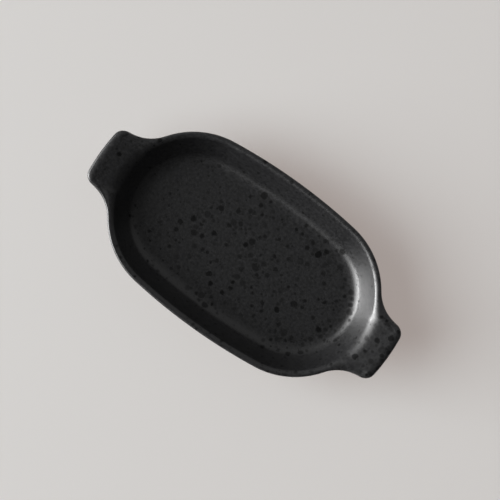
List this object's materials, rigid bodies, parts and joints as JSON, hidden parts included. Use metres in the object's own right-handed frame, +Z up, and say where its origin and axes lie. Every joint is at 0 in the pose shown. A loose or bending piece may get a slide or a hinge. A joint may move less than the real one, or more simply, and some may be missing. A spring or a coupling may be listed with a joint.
{
  "type": "oval eared dish",
  "caption": "Shallow oval stoneware serving dish with leaning walls, a flat floor and an ear at each end that rises a little from the lip, in speckled satin black glaze, standing on a bare foot ring.",
  "frame": {"origin": "on the table, under the middle of the dish", "axes": "+X along the dish from ear to ear, +Y across it, +Z up"},
  "size_m": [0.2, 0.1022, 0.0245],
  "materials": {
    "stoneware": "bare fired stoneware, matt",
    "glaze": "satin black glaze with darker matt spots"
  },
  "bodies": {
    "root": {"bowl": "stoneware", "ear_left": "stoneware", "ear_right": "stoneware", "foot_ring": "stoneware", "glaze_coat": "glaze", "base_glaze": "glaze"}
  },
  "joints": []
}
